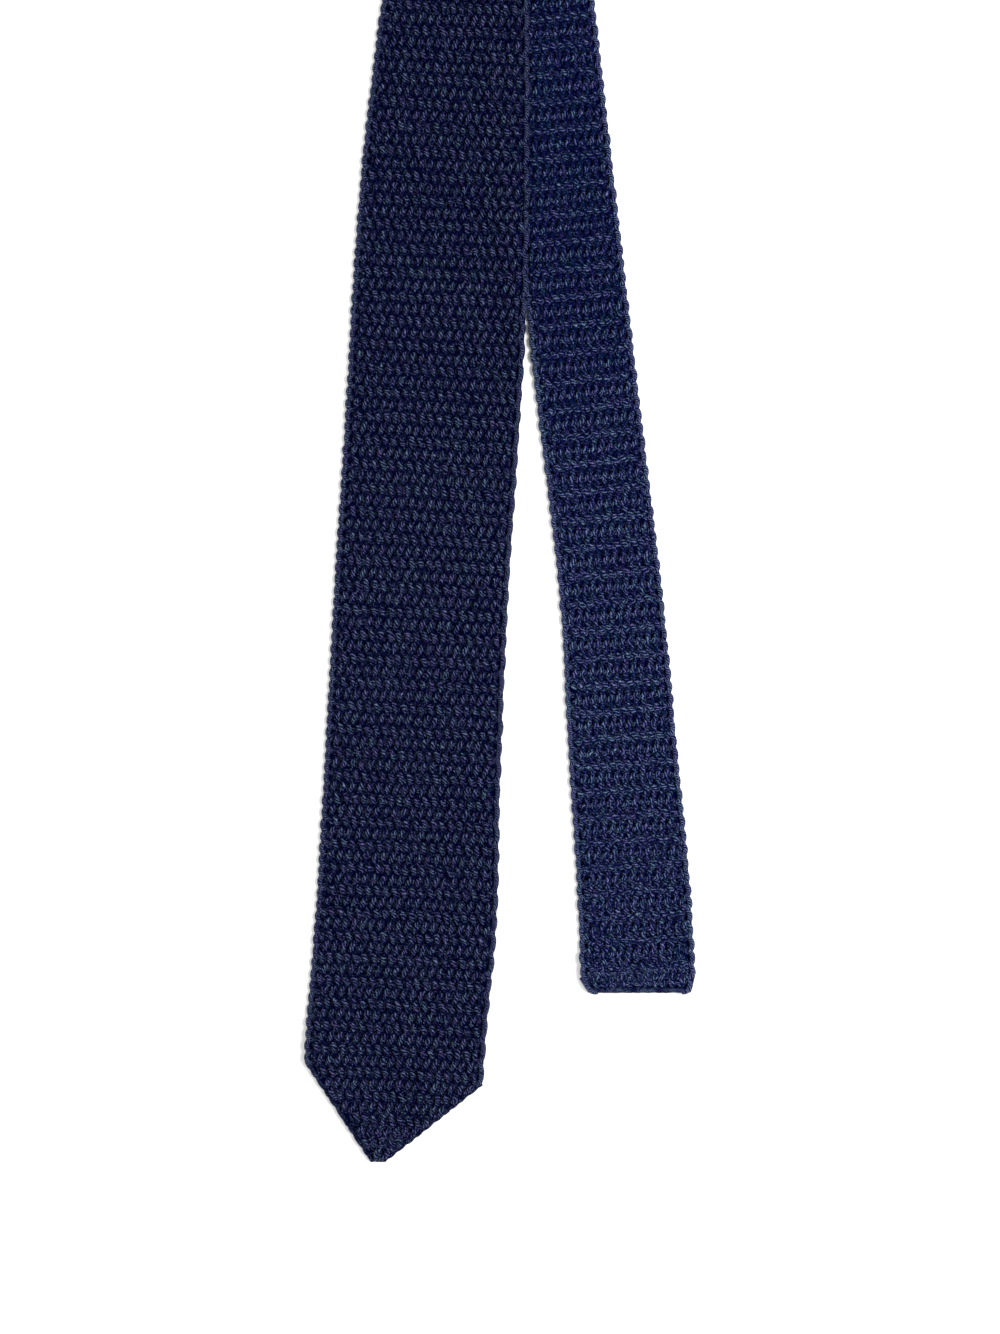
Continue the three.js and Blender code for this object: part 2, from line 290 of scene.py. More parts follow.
@dataclass(frozen=True)
class MattePaper:
    """Seamless white background paper, matt and even."""

    name: str
    colour: str

    def build(self) -> bpy.types.Material:
        """Make the material.

        Returns:
            The material, named for the paper.
        """
        material, shader = new_material(self.name, 1.0)
        shader.inputs["Base Color"].default_value = linear(self.colour)
        shader.inputs["Specular IOR Level"].default_value = 0.0
        return material


# The strip that the yarn is laid on


@dataclass(frozen=True)
class Row:
    """One row of a leg: share of its length, sideways shift and flare, as in the solid model."""

    along: float
    shift: float
    flare: float


@dataclass(frozen=True)
class Wave:
    """A gentle bulge of a leg's edges, at a height above the tip.

    Left and right say how far each edge lies to the right of the smooth strip, in millimetres.
    """

    along: float
    left: float
    right: float


@dataclass
class TieShape:
    """Outline and lay of the folded strip, with the solid model's sizes in millimetres."""

    front_length: float = 766.6
    tail_length: float = 700.0
    blade_width: float = 70.0
    neck_width: float = 39.0
    tail_width: float = 44.3
    knit: float = 3.0
    gap: float = 0.3
    left_shoulder: float = 39.2
    right_shoulder: float = 30.2
    blunt_width: float = 5.9
    tip_offset: float = -4.6
    tail_corner_left: tuple[float, float] = (3.0, 5.4)
    tail_corner_right: tuple[float, float] = (2.2, 8.0)
    hem: float = 1.5
    hem_inset: float = 0.7
    hem_width: float = 9.0
    hem_margin: float = 1.5
    hem_run: float = 10.0
    seam_from_fold: float = 288.0
    drape_run: float = 12.0
    drape_margin: float = 2.0
    fold_opening: float = 2.4
    fold_run: float = 42.0
    pressed_in_fold: float = 0.9
    front_rows: tuple[Row, ...] = (
        Row(0.0, -0.3, 0.975),
        Row(0.083, -0.251, 1.0),
        Row(0.185, -0.196, 0.97),
        Row(0.287, -0.137, 0.955),
        Row(0.389, -0.064, 0.965),
        Row(0.45, -0.028, 0.955),
        Row(0.508, 0.0, 0.865),
        Row(0.58, 0.047, 0.66),
        Row(0.66, 0.098, 0.34),
        Row(0.74, 0.137, 0.09),
        Row(0.82, 0.168, 0.0),
        Row(1.0, 0.201, 0.0),
    )
    tail_rows: tuple[Row, ...] = (
        Row(0.0, 1.093, 1.0),
        Row(0.018, 1.083, 1.0),
        Row(0.108, 1.024, 0.77),
        Row(0.219, 0.931, 0.34),
        Row(0.331, 0.806, 0.04),
        Row(0.462, 0.66, 0.03),
        Row(0.596, 0.511, 0.0),
        Row(0.731, 0.356, 0.0),
        Row(0.865, 0.24, 0.0),
        Row(1.0, 0.201, 0.0),
    )
    front_waves: tuple[Wave, ...] = (
        Wave(0.0, -0.8, -0.7),
        Wave(50.0, -1.5, -0.4),
        Wave(95.0, -0.2, 1.5),
        Wave(150.0, 0.0, 0.6),
        Wave(330.0, 0.0, 0.0),
    )
    tail_waves: tuple[Wave, ...] = (
        Wave(70.0, -1.2, -0.4),
        Wave(105.0, -0.6, 0.2),
        Wave(160.0, -0.9, -0.4),
        Wave(220.0, 0.0, 0.0),
        Wave(315.0, -1.4, 0.2),
        Wave(400.0, 0.0, 0.0),
    )
    offset: np.ndarray = field(default_factory=lambda: np.zeros(2))

    def __post_init__(self) -> None:
        """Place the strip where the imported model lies."""
        low = np.array(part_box("front_blade")[0]) / MM
        samples = 2000
        y = np.linspace(0.0, self.front_length - self.seam_from_fold, samples)
        smooth = self.edges(Leg.FRONT, y)[0] - self.waves(Leg.FRONT, y)[0]
        self.offset = np.array([low[0] - smooth.min(), low[1]])

    @property
    def tail_end(self) -> float:
        """Height of the square end above the tip."""
        return self.front_length - self.tail_length

    @property
    def bend_radius(self) -> float:
        """Radius of the fold, to the middle of the knit."""
        return (self.knit + self.fold_opening) / 2

    @property
    def bend_length(self) -> float:
        """Length of the knit round the fold."""
        return math.pi * self.bend_radius

    def column(self, rows: tuple[Row | Wave, ...], key: str, share: np.ndarray) -> np.ndarray:
        """Draw a smooth curve through one column of a table of rows.

        Args:
            rows: the table, from a leg's free end to the fold.
            key: the column's name.
            share: places along the leg, as the table gives them.

        Returns:
            The column's value at each place.
        """
        at = np.array([row.along for row in rows])
        value = np.array([getattr(row, key) for row in rows])
        slope = np.diff(value) / np.diff(at)
        ends = np.concatenate([[slope[0]], (slope[:-1] + slope[1:]) / 2, [0.0]])
        i = np.clip(np.searchsorted(at, share, side="left") - 1, 0, len(rows) - 2)
        span = at[i + 1] - at[i]
        t = np.clip((share - at[i]) / span, 0.0, 1.0)
        first = t * (1 - t) ** 2 * span * (ends[i] - slope[i])
        second = t * t * (1 - t) * span * (ends[i + 1] - slope[i])
        return value[i] + (value[i + 1] - value[i]) * t + first - second

    def follow(self, leg: Leg, key: str, y: np.ndarray) -> np.ndarray:
        """One column of a leg's own table, at heights above the tip."""
        if leg is Leg.FRONT:
            return self.column(self.front_rows, key, y / self.front_length)
        return self.column(self.tail_rows, key, (y - self.tail_end) / self.tail_length)

    def centre(self, leg: Leg, y: np.ndarray) -> np.ndarray:
        """Sideways place of a leg's middle at heights above the tip."""
        return self.follow(leg, "shift", y) * self.blade_width

    def half(self, leg: Leg, y: np.ndarray) -> np.ndarray:
        """Half a leg's width at heights above the tip, as if its end were not cut."""
        end_width = self.blade_width if leg is Leg.FRONT else self.tail_width
        return (self.neck_width + self.follow(leg, "flare", y) * (end_width - self.neck_width)) / 2

    def tip_corners(self) -> dict[str, np.ndarray]:
        """Corners of the pointed end, by name."""
        low = np.array([0.0, self.left_shoulder, self.right_shoulder])
        centre, half = self.centre(Leg.FRONT, low), self.half(Leg.FRONT, low)
        left, right = self.waves(Leg.FRONT, low)
        tip = centre[0] + self.tip_offset
        return {
            "left_shoulder": np.array([centre[1] - half[1] + left[1], self.left_shoulder]),
            "right_shoulder": np.array([centre[2] + half[2] + right[2], self.right_shoulder]),
            "blunt_left": np.array([tip - self.blunt_width / 2 + left[0], 0.0]),
            "blunt_right": np.array([tip + self.blunt_width / 2 + right[0], 0.0]),
        }

    def edges(self, leg: Leg, y: np.ndarray) -> tuple[np.ndarray, np.ndarray]:
        """Left and right edges of a leg, drawn in at its free end.

        Args:
            leg: which leg.
            y: heights above the tip.

        Returns:
            The sideways places of both edges.
        """
        centre, half = self.centre(leg, y), self.half(leg, y)
        wave_left, wave_right = self.waves(leg, y)
        left, right = centre - half + wave_left, centre + half + wave_right
        if leg is Leg.TAIL:
            up = y - self.tail_end
            left = left + self.tail_corner_left[0] * np.maximum(1 - up / self.tail_corner_left[1], 0)
            right = right - self.tail_corner_right[0] * np.maximum(1 - up / self.tail_corner_right[1], 0)
            return left, right
        tip = self.tip_corners()
        cut = []
        for name, edge in (("left", left), ("right", right)):
            low, high = tip[f"blunt_{name}"], tip[f"{name}_shoulder"]
            slant = low[0] + (high[0] - low[0]) * y / high[1]
            cut.append(np.where(y < high[1], slant, edge))
        return cut[0], cut[1]

    def waves(self, leg: Leg, y: np.ndarray) -> tuple[np.ndarray, np.ndarray]:
        """Small waves of a leg's edges, beyond the solid model's smooth ones."""
        rows = self.front_waves if leg is Leg.FRONT else self.tail_waves
        return self.column(rows, "left", y), self.column(rows, "right", y)

    def end_corners(self, leg: Leg) -> np.ndarray:
        """Corners of a leg's free end, from its left edge round to its right edge."""
        if leg is Leg.FRONT:
            tip = self.tip_corners()
            return np.array([tip["left_shoulder"], tip["blunt_left"], tip["blunt_right"],
                             tip["right_shoulder"]])
        up = np.array([self.tail_corner_left[1], 0.0, 0.0, self.tail_corner_right[1]]) + self.tail_end
        left, right = self.edges(leg, up)
        return np.array([(left[0], up[0]), (left[1], up[1]), (right[2], up[2]), (right[3], up[3])])

    def over_hem(self, distance: np.ndarray) -> np.ndarray:
        """How far the knit is lifted at a distance from an edge that has a hem under it."""
        past = distance - self.hem_width - self.hem_inset - self.hem_margin
        return (self.hem + self.gap) * ease(1 - past / self.hem_run)

    def to_slants(self, x: np.ndarray, y: np.ndarray) -> np.ndarray:
        """Distance of points from the nearer slant of the pointed end."""
        tip = self.tip_corners()
        nearest = np.full(np.shape(x), math.inf)
        for a, b in (("blunt_left", "left_shoulder"), ("blunt_right", "right_shoulder")):
            start, run = tip[a], tip[b] - tip[a]
            share = ((x - start[0]) * run[0] + (y - start[1]) * run[1]) / (run @ run)
            share = np.clip(share, 0.0, 1.0)
            reach = np.hypot(x - start[0] - share * run[0], y - start[1] - share * run[1])
            nearest = np.minimum(nearest, reach)
        return nearest

    def middle(self, leg: Leg, x: np.ndarray, y: np.ndarray) -> np.ndarray:
        """Height of the middle of the knit above the floor.

        Args:
            leg: which leg.
            x: sideways places.
            y: heights above the tip.

        Returns:
            The height in millimetres.
        """
        if leg is Leg.TAIL:
            return self.over_hem(y - self.tail_end) + self.knit / 2
        inside = x - self.edges(Leg.TAIL, np.maximum(y, self.tail_end))[0] + self.drape_margin
        over_tail = (self.knit + self.gap) * ease(1 + inside / self.drape_run)
        open_fold = (self.fold_opening - self.gap) * ease(1 - (self.front_length - y) / self.fold_run)
        lift = np.maximum(over_tail, self.over_hem(self.to_slants(x, y)))
        return lift + open_fold + self.knit / 2

    def plan(self, leg: Leg, s: np.ndarray, v: np.ndarray) -> tuple[np.ndarray, np.ndarray]:
        """Place points of the strip in plan, with its rows square to its middle line.

        Args:
            leg: which leg.
            s: places along the leg.
            v: distances to the right of the middle line.

        Returns:
            Sideways places, and heights above the tip.
        """
        step = 1.0
        on_leg = np.minimum(s, self.front_length)
        lean = (self.centre(leg, on_leg + step) - self.centre(leg, on_leg - step)) / (2 * step)
        lean = np.where(s > self.front_length - step, 0.0, lean)
        size = np.hypot(1.0, lean)
        return self.centre(leg, on_leg) + v / size, s - v * lean / size

    def raise_up(self, leg: Leg, x: np.ndarray, y: np.ndarray, n: np.ndarray) -> np.ndarray:
        """Turn plan points and distances above the knit's middle into points in space.

        Args:
            leg: which leg.
            x: sideways places.
            y: places along, which run on round the fold past the front leg's length.
            n: distances above the middle of the knit.

        Returns:
            Points in metres, one row each.
        """
        flat = np.minimum(y, self.front_length)
        z = self.middle(leg, x, flat) + n
        turn = math.pi / 2 - np.maximum(y - self.front_length, 0.0) / self.bend_radius
        centre = self.knit + self.fold_opening / 2
        pressed = ease((y - self.front_length) / self.bend_length)
        radius = self.bend_radius + n - pressed * np.maximum(n, 0.0) * self.pressed_in_fold
        bent = y > self.front_length
        out = np.where(bent, self.front_length + radius * np.cos(turn), flat)
        z = np.where(bent, centre + radius * np.sin(turn), z)
        return np.stack([x + self.offset[0], out + self.offset[1], z], axis=-1) * MM


# Yarn


@dataclass
class YarnMesh:
    """Collects lengths of yarn and joins them into one mesh."""

    name: str
    points: list[np.ndarray] = field(default_factory=list)
    faces: list[np.ndarray] = field(default_factory=list)
    around: list[np.ndarray] = field(default_factory=list)
    along: list[np.ndarray] = field(default_factory=list)
    shade: list[np.ndarray] = field(default_factory=list)
    tint: list[np.ndarray] = field(default_factory=list)
    total: int = 0

    def add(self, path: np.ndarray, radius: np.ndarray | float, sides: int,
            shade: np.ndarray, tint: np.ndarray, start: float, twist: float = 1.0) -> None:
        """Add one length of yarn as a tube.

        Args:
            path: points along the yarn, in metres.
            radius: the yarn's radius in millimetres, one value or one a point.
            sides: sides of the tube.
            shade: how light the yarn is painted at each point, from 0 to 1: tone that differs at random,
                with painted shade and painted light.
            tint: hue at each point, about one half.
            start: where along its twist the yarn starts, in millimetres.
            twist: how tightly it is twisted, beside the usual.
        """
        tangent = np.gradient(path, axis=0)
        tangent /= np.linalg.norm(tangent, axis=1)[:, None] + 1e-12
        normal = np.empty_like(tangent)
        across = np.cross(tangent[0], (0.0, 0.0, 1.0))
        across += (1e-6, 0.0, 0.0)
        for i, forward in enumerate(tangent):
            across = across - forward * (across @ forward)
            across = across / math.sqrt(across @ across)
            normal[i] = across
        other = np.cross(normal, tangent)
        angle = np.arange(sides) * 2 * math.pi / sides
        size = np.broadcast_to(np.asarray(radius) * MM, (len(path),))[:, None, None]
        ring = path[:, None, :] + size * (np.cos(angle)[None, :, None] * normal[:, None, :]
                                          + np.sin(angle)[None, :, None] * other[:, None, :])
        count = len(path)
        i = np.arange(count - 1)[:, None] * sides
        j = np.arange(sides)[None, :]
        k = (j + 1) % sides
        quads = np.stack([i + j, i + k, i + sides + k, i + sides + j], axis=-1)
        self.faces.append(quads.reshape(-1, 4) + self.total)
        self.points.append(ring.reshape(-1, 3))
        step = np.linalg.norm(np.diff(path, axis=0, prepend=path[:1]), axis=1).cumsum() / MM
        step = step * twist + start
        ends = np.stack([j, j + 1, j + 1, j], axis=-1) / sides
        self.around.append(np.broadcast_to(ends, (count - 1, sides, 4)).reshape(-1))
        corners = np.stack([step[:-1], step[:-1], step[1:], step[1:]], axis=-1)
        self.along.append(np.broadcast_to(corners[:, None, :], (count - 1, sides, 4)).reshape(-1))
        self.shade.append(np.repeat(shade, sides))
        self.tint.append(np.repeat(tint, sides))
        self.total += count * sides

    def build(self) -> bpy.types.Object:
        """Make the object, linked to the scene."""
        mesh = bpy.data.meshes.new(self.name)
        points, quads = np.concatenate(self.points), np.concatenate(self.faces)
        mesh.vertices.add(len(points))
        mesh.vertices.foreach_set("co", points.astype(np.float32).reshape(-1))
        mesh.loops.add(quads.size)
        mesh.loops.foreach_set("vertex_index", quads.astype(np.int32).reshape(-1))
        mesh.polygons.add(len(quads))
        mesh.polygons.foreach_set("loop_start", np.arange(0, quads.size, 4, dtype=np.int32))
        mesh.polygons.foreach_set("use_smooth", np.ones(len(quads), dtype=bool))
        mesh.update(calc_edges=True)
        layer = mesh.uv_layers.new(name="yarn")
        uv = np.stack([np.concatenate(self.around), np.concatenate(self.along)], axis=1)
        layer.data.foreach_set("uv", uv.astype(np.float32).reshape(-1))
        for name, values in (("shade", self.shade), ("tint", self.tint)):
            attribute = mesh.attributes.new(name, "FLOAT", "POINT")
            attribute.data.foreach_set("value", np.concatenate(values).astype(np.float32))
        return put_in_scene(self.name, mesh)


def inset_line(corners: np.ndarray, depth: float) -> np.ndarray:
    """Move an open line of corners inward, to its left, by a depth.

    Args:
        corners: the corners, one row each.
        depth: how far, in the corners' own units.

    Returns:
        The moved corners.
    """
    runs = np.diff(corners, axis=0)
    runs = runs / np.linalg.norm(runs, axis=1)[:, None]
    inward = np.stack([-runs[:, 1], runs[:, 0]], axis=1)
    moved = [corners[0] + inward[0] * depth]
    for i in range(1, len(corners) - 1):
        mitre = inward[i - 1] + inward[i]
        moved.append(corners[i] + mitre * (depth / (mitre @ inward[i])))
    moved.append(corners[-1] + inward[-1] * depth)
    return np.array(moved)


def line_distance(points: np.ndarray, start: np.ndarray, stop: np.ndarray) -> np.ndarray:
    """Distance of plan points from the straight line through two corners."""
    run = (stop - start) / np.hypot(*(stop - start))
    return np.abs((points[:, 0] - start[0]) * run[1] - (points[:, 1] - start[1]) * run[0])


def smooth_path(points: np.ndarray, steps: int) -> np.ndarray:
    """Draw a smooth curve through points.

    Args:
        points: points to pass, one row each.
        steps: steps between two points.

    Returns:
        Points along the curve.
    """
    padded = np.concatenate([2 * points[:1] - points[1:2], points, 2 * points[-1:] - points[-2:-1]])
    a, b, c, d = (padded[i:len(padded) - 3 + i, None] for i in range(4))
    t = (np.arange(steps) / steps)[None, :, None]
    curve = 0.5 * (2 * b + (c - a) * t + (2 * a - 5 * b + 4 * c - d) * t ** 2
                   + (3 * b - a - 3 * c + d) * t ** 3)
    return np.concatenate([curve.reshape(-1, points.shape[1]), points[-1:]])


def smooth_noise(rng: np.random.Generator, count: int, reach: int) -> np.ndarray:
    """Draw an even wander from -1 to 1.

    Args:
        rng: seeded source.
        count: how many values.
        reach: how many values lie between two drawn ones.

    Returns:
        The values.
    """
    drawn = rng.random(count // reach + 3) * 2 - 1
    return np.interp(np.arange(count) / reach, np.arange(len(drawn)), drawn)


@dataclass(frozen=True)
class Strand:
    """The way that one yarn takes through its stitches.

    Points are (across, up, out, radius): shares of a stitch's width and of the row's height,
    then millimetres above the middle of the knit, and the yarn's radius in millimetres.
    A strand stops at its leg's usual distance from the long edges, or at its own reach. Its shade is how
    light
    it is painted: the strands that lie deeper or under others, such as links and posts, are painted
    darker, as painted shade.
    """

    points: tuple[tuple[float, float, float, float], ...]
    stitches: int = 1
    sides: int = 6
    steps: int = 2
    shade: float = 0.5
    reach: float = 0.0


# Right side, every second row: stitches whose heads lean to the left, with holes between them
FALLING = Strand(
    points=(
        (0.00, 0.94, 0.30, 0.84),
        (0.14, 0.96, 1.00, 1.02),
        (0.29, 0.80, 1.20, 1.15),
        (0.37, 0.50, 0.85, 1.10),
        (0.44, 0.20, 0.45, 1.02),
        (0.56, 0.04, -0.30, 0.80),
        (0.72, 0.35, -0.70, 0.70),
        (0.88, 0.75, -0.45, 0.75),
    ),
)
# Right side, the rows between: stitches whose heads lean to the right
RISING = Strand(
    points=(
        (0.06, 0.04, -0.30, 0.80),
        (0.14, 0.20, 0.45, 1.02),
        (0.24, 0.50, 0.85, 1.10),
        (0.33, 0.78, 1.20, 1.15),
        (0.48, 0.98, 1.00, 1.02),
        (0.62, 0.96, 0.30, 0.84),
        (0.76, 0.72, -0.45, 0.75),
        (0.92, 0.30, -0.70, 0.70),
    ),
)
# Right side: the thin yarns that link the stitches between two rows
FOOT_LINK = Strand(
    points=((0.0, 0.06, 0.20, 0.62), (0.5, 0.14, -0.05, 0.62)),
    sides=5,
    shade=0.35,
    reach=1.8,
)
# Right side: loops that half fill every second hole
FILLING = Strand(
    points=(
        (0.20, 0.50, -0.65, 0.65),
        (0.60, 0.95, -0.60, 0.65),
        (0.82, 0.55, 0.10, 0.90),
        (0.94, 0.10, -0.50, 0.70),
        (1.60, 0.55, -0.70, 0.65),
    ),
    stitches=2,
    sides=4,
    shade=0.4,
)
# Reverse, under every second row: a chain of raised loops that lean to the right
RIGHT_LOOPS = Strand(
    points=(
        (0.00, 0.10, 0.70, 0.84),
        (0.20, 0.00, 1.10, 0.98),
        (0.44, 0.10, 1.50, 1.10),
        (0.64, 0.30, 1.35, 1.02),
        (0.82, 0.30, 0.50, 0.84),
    ),
    shade=0.45,
)
# Reverse, under the rows between: the same chain, leaning to the left
LEFT_LOOPS = Strand(
    points=(
        (0.00, 0.30, 0.50, 0.84),
        (0.18, 0.30, 1.35, 1.02),
        (0.40, 0.10, 1.50, 1.10),
        (0.64, 0.00, 1.10, 0.98),
        (0.84, 0.10, 0.70, 0.84),
    ),
    shade=0.45,
)
# Reverse: upright posts in the shade of the loops, with a hole beside each
POSTS = Strand(
    points=(
        (0.77, 0.26, 0.15, 0.95),
        (0.80, 0.56, 0.45, 1.20),
        (0.86, 0.90, 0.25, 1.12),
        (1.10, 1.04, -0.50, 0.70),
        (1.40, 0.60, -0.60, 0.85),
    ),
    shade=0.35,
)
# Either side, near a free end: loose loops that hide the holes
LOOSE_LOOPS = Strand(
    points=(
        (0.10, 0.30, 0.50, 0.62),
        (0.34, 0.80, 1.05, 0.70),
        (0.62, 0.62, 1.20, 0.70),
        (0.70, 0.20, 0.90, 0.66),
        (0.86, 0.05, 0.60, 0.62),
    ),
    sides=5,
    shade=0.45,
)


# How high the rows are, as (height above the tip, row height): lower near the free ends than above
FRONT_ROW_HEIGHTS = ((0.0, 4.51), (60.0, 4.43), (130.0, 4.46), (160.0, 4.55), (205.0, 4.74))
TAIL_ROW_HEIGHTS = ((95.0, 4.85), (118.0, 4.94), (142.0, 5.04), (166.0, 5.20), (205.0, 5.43))
# Where the knit starts to get darker towards the neck, above the tip, and over what height it does
DEEPER_FROM = 215.0
DEEPER_OVER = 170.0
# How far from a free end the stitches are looser, and within what length of yarn a row's twist starts
LOOSE_REACH = 22.0
TWIST_START = 10.0


@dataclass
class KnitLeg:
    """The knitted yarn of one leg, laid row by row.

    Row light is the height in a row where its painted light is brightest, and odd slide how far every
    second
    row is moved across, in stitches: each row is painted lighter there and darker half a row away, as
    painted shade. Calm is taken off that painted row shade within about the calm length of the free end.
    Where it is more than the row shade, as on the tail, the paint is darkest at row light instead.
    """

    leg: Leg
    shape: TieShape
    stitch_width: float
    row_heights: tuple[tuple[float, float], ...]
    row_light: float
    odd_slide: float
    edge_inset: float
    turn_left: float
    turn_right: float
    painted_row_shade: float
    end_margin: float
    deeper: float
    calm: float
    calm_length: float
    jitter: tuple[float, float, float] = (0.16, 0.15, 0.45)
    end_slack: float = 1.0
    loose_length: float = 14.0
    # Painted shade by height: yarn above raised_from is painted lighter, yarn below it darker.
    height_painted_shade: float = 0.3
    raised_from: float = 0.4
    loose_shade: float = 0.5
    loose_tint: float = 0.10
    feet: np.ndarray = field(default_factory=lambda: np.zeros(0))

    def __post_init__(self) -> None:
        """Find where each row starts, from the heights of the rows along the leg."""
        at, height = np.array(self.row_heights).T
        feet = [self.end()]
        while feet[-1] < self.shape.front_length + 2 * self.shape.bend_length:
            feet.append(feet[-1] + float(np.interp(feet[-1], at, height)))
        self.feet = np.array(feet)

    def end(self) -> float:
        """Where the leg's free end lies."""
        return 0.0 if self.leg is Leg.FRONT else self.shape.tail_end

    def strands(self, row: int, plain: bool) -> tuple[Strand, ...]:
        """The strands that make up a row.

        Args:
            row: the row's number from the free end.
            plain: whether the yarn behind the stitches is left out.

        Returns:
            The strands, the ones that show first.
        """
        if self.leg is Leg.FRONT:
            shown = (FALLING if row % 2 else RISING), FOOT_LINK
            hidden = () if plain else (FILLING,)
        else:
            shown = (RIGHT_LOOPS if row % 2 else LEFT_LOOPS), POSTS
            hidden = ()
        loose = (LOOSE_LOOPS,) if self.feet[row + 1] - self.end() < self.loose_length else ()
        return (*shown, *hidden, *loose)

    def lay_row(self, mesh: YarnMesh, row: int, rng: np.random.Generator, plain: bool) -> None:
        """Lay the yarn of one row.

        Args:
            mesh: what collects the yarn.
            row: the row's number from the free end.
            rng: seeded source of the small unevenness of the stitches.
            plain: whether the row is laid with fewer faces.
        """
        shape = self.shape
        slide = self.odd_slide if row % 2 else 0.0
        foot, height = self.feet[row], self.feet[row + 1] - self.feet[row]
        reach = int(shape.blade_width / self.stitch_width / 2) + 2
        for strand in self.strands(row, plain):
            way = np.array(strand.points)
            first = np.arange(-reach, reach + 1, strand.stitches)
            across = (first[:, None] + way[None, :, 0]).reshape(-1) + slide
            up, out, radius = (np.tile(way[:, i], len(first)) for i in (1, 2, 3))
            near_end = math.exp(-((foot - self.end()) / LOOSE_REACH) ** 2)
            slack = 1.0 + self.end_slack * near_end
            loose = (rng.random((3, len(across))) - 0.5) * np.array(self.jitter)[:, None] * slack
            chance = self.loose_shade * (rng.random(len(across)) - 0.5)
            # Painted shade by height in the knit, with chance tone that differs at random.
            shade = strand.shade + self.height_painted_shade * (out - self.raised_from) + chance
            calmer = math.exp(-((foot - self.end()) / self.calm_length) ** 2)
            contrast = self.painted_row_shade - self.calm * calmer
            # Painted shade and light across each row: lighter at row light, darker half a row away.
            shade += contrast * np.cos(2 * math.pi * (up - self.row_light))
            shade -= self.deeper * ease((foot - DEEPER_FROM) / DEEPER_OVER)
            tint = 0.5 + self.loose_tint * (rng.random(len(across)) - 0.5)
            start = rng.random() * TWIST_START
            s = foot + (up + loose[1]) * height
            x, y = shape.plan(self.leg, s, (across + loose[0]) * self.stitch_width)
            flat = np.minimum(y, shape.front_length)
            left, right = shape.edges(self.leg, flat)
            inset = strand.reach or self.edge_inset
            left, right = left + inset, right - inset
            bottom = self.end() + self.end_margin
            inside = (x > left) & (x < right) & (y > bottom)
            if inside.sum() < 3:
                continue
            kept = np.flatnonzero(inside)
            kept = np.arange(max(kept[0] - 1, 0), min(kept[-1] + 1, len(x) - 1) + 1)
            x = np.clip(x, left, right)[kept]
            y = np.maximum(y, bottom)[kept]
            n = np.maximum(out + loose[2], radius - shape.knit / 2)[kept]
            knots = np.stack([x, y, n, radius[kept], shade[kept], tint[kept]], axis=1)
            curve = smooth_path(knots, 1 if plain else strand.steps)
            path = shape.raise_up(self.leg, curve[:, 0], curve[:, 1], curve[:, 2])
            sides = strand.sides - 1 if plain else strand.sides
            mesh.add(path, curve[:, 3], sides, np.clip(curve[:, 4], 0, 1), curve[:, 5], start)


@dataclass
class PackedSheet:
    """The thin closed sheet of packed yarn inside a length of the tie."""

    name: str
    leg: Leg
    start: float
    stop: float
    inset: float = 1.4
    height: float = -0.95
    thickness: float = 0.6
    lanes: int = 10
    step: float = 4.0
    fold_steps: int = 12

    def build(self, shape: TieShape) -> tuple[bpy.types.Object, float]:
        """Make the sheet.

        Args:
            shape: the strip's outline and lay.

        Returns:
            The object, and its flat area in square millimetres.
        """
        low = self.start + (self.inset if self.start in (0.0, shape.tail_end) else 0.0)
        flat_stop = min(self.stop, shape.front_length)
        s = np.linspace(low, flat_stop, int((flat_stop - low) / self.step) + 1)
        if self.stop > shape.front_length:
            s = np.concatenate([s, np.linspace(flat_stop, self.stop, self.fold_steps + 1)[1:]])
        left, right = shape.edges(self.leg, np.minimum(s, shape.front_length))
        width = right - left - 2 * self.inset
        share = np.linspace(0.0, 1.0, self.lanes + 1)[None, :]
        x = (left + self.inset)[:, None] + width[:, None] * share
        y = np.broadcast_to(s[:, None], x.shape)
        faces_at = (self.height + self.thickness / 2, self.height - self.thickness / 2)
        layers = [shape.raise_up(self.leg, x, y, np.full(x.shape, n)) for n in faces_at]
        points = np.concatenate([layer.reshape(-1, 3) for layer in layers])
        wide, rows = self.lanes + 1, len(s) - 1
        i, j = np.meshgrid(np.arange(rows), np.arange(self.lanes), indexing="ij")
        a = (i * wide + j).reshape(-1)
        top = np.stack([a, a + 1, a + wide + 1, a + wide], axis=1)
        rim = np.concatenate([
            np.arange(self.lanes),
            np.arange(self.lanes, wide * rows + self.lanes, wide),
            wide * rows + np.arange(self.lanes, 0, -1),
            np.arange(wide * rows, 0, -wide),
        ])
        below, after = wide * (rows + 1), np.roll(rim, -1)
        side = np.stack([rim, rim + below, after + below, after], axis=1)
        mesh = bpy.data.meshes.new(self.name)
        quads = np.concatenate([top, top[:, ::-1] + below, side])
        mesh.from_pydata(points.tolist(), [], quads.tolist())
        mesh.polygons.foreach_set("use_smooth", np.ones(len(mesh.polygons), dtype=bool))
        area = float(((width[1:] + width[:-1]) / 2 * np.diff(s)).sum())
        return put_in_scene(self.name, mesh), area


# A long edge: where the yarn turns round it, as (depth from the edge, up, out, radius)
TURN = (
    (3.30, -0.06, -0.40, 0.72),
    (2.20, 0.00, 0.45, 0.90),
    (1.30, 0.16, 0.75, 1.05),
    (0.95, 0.42, 0.75, 1.12),
    (1.05, 0.68, 0.65, 1.10),
    (1.70, 0.90, 0.40, 0.95),
    (2.70, 0.98, -0.20, 0.75),
    (3.20, 0.70, -0.70, 0.65),
)


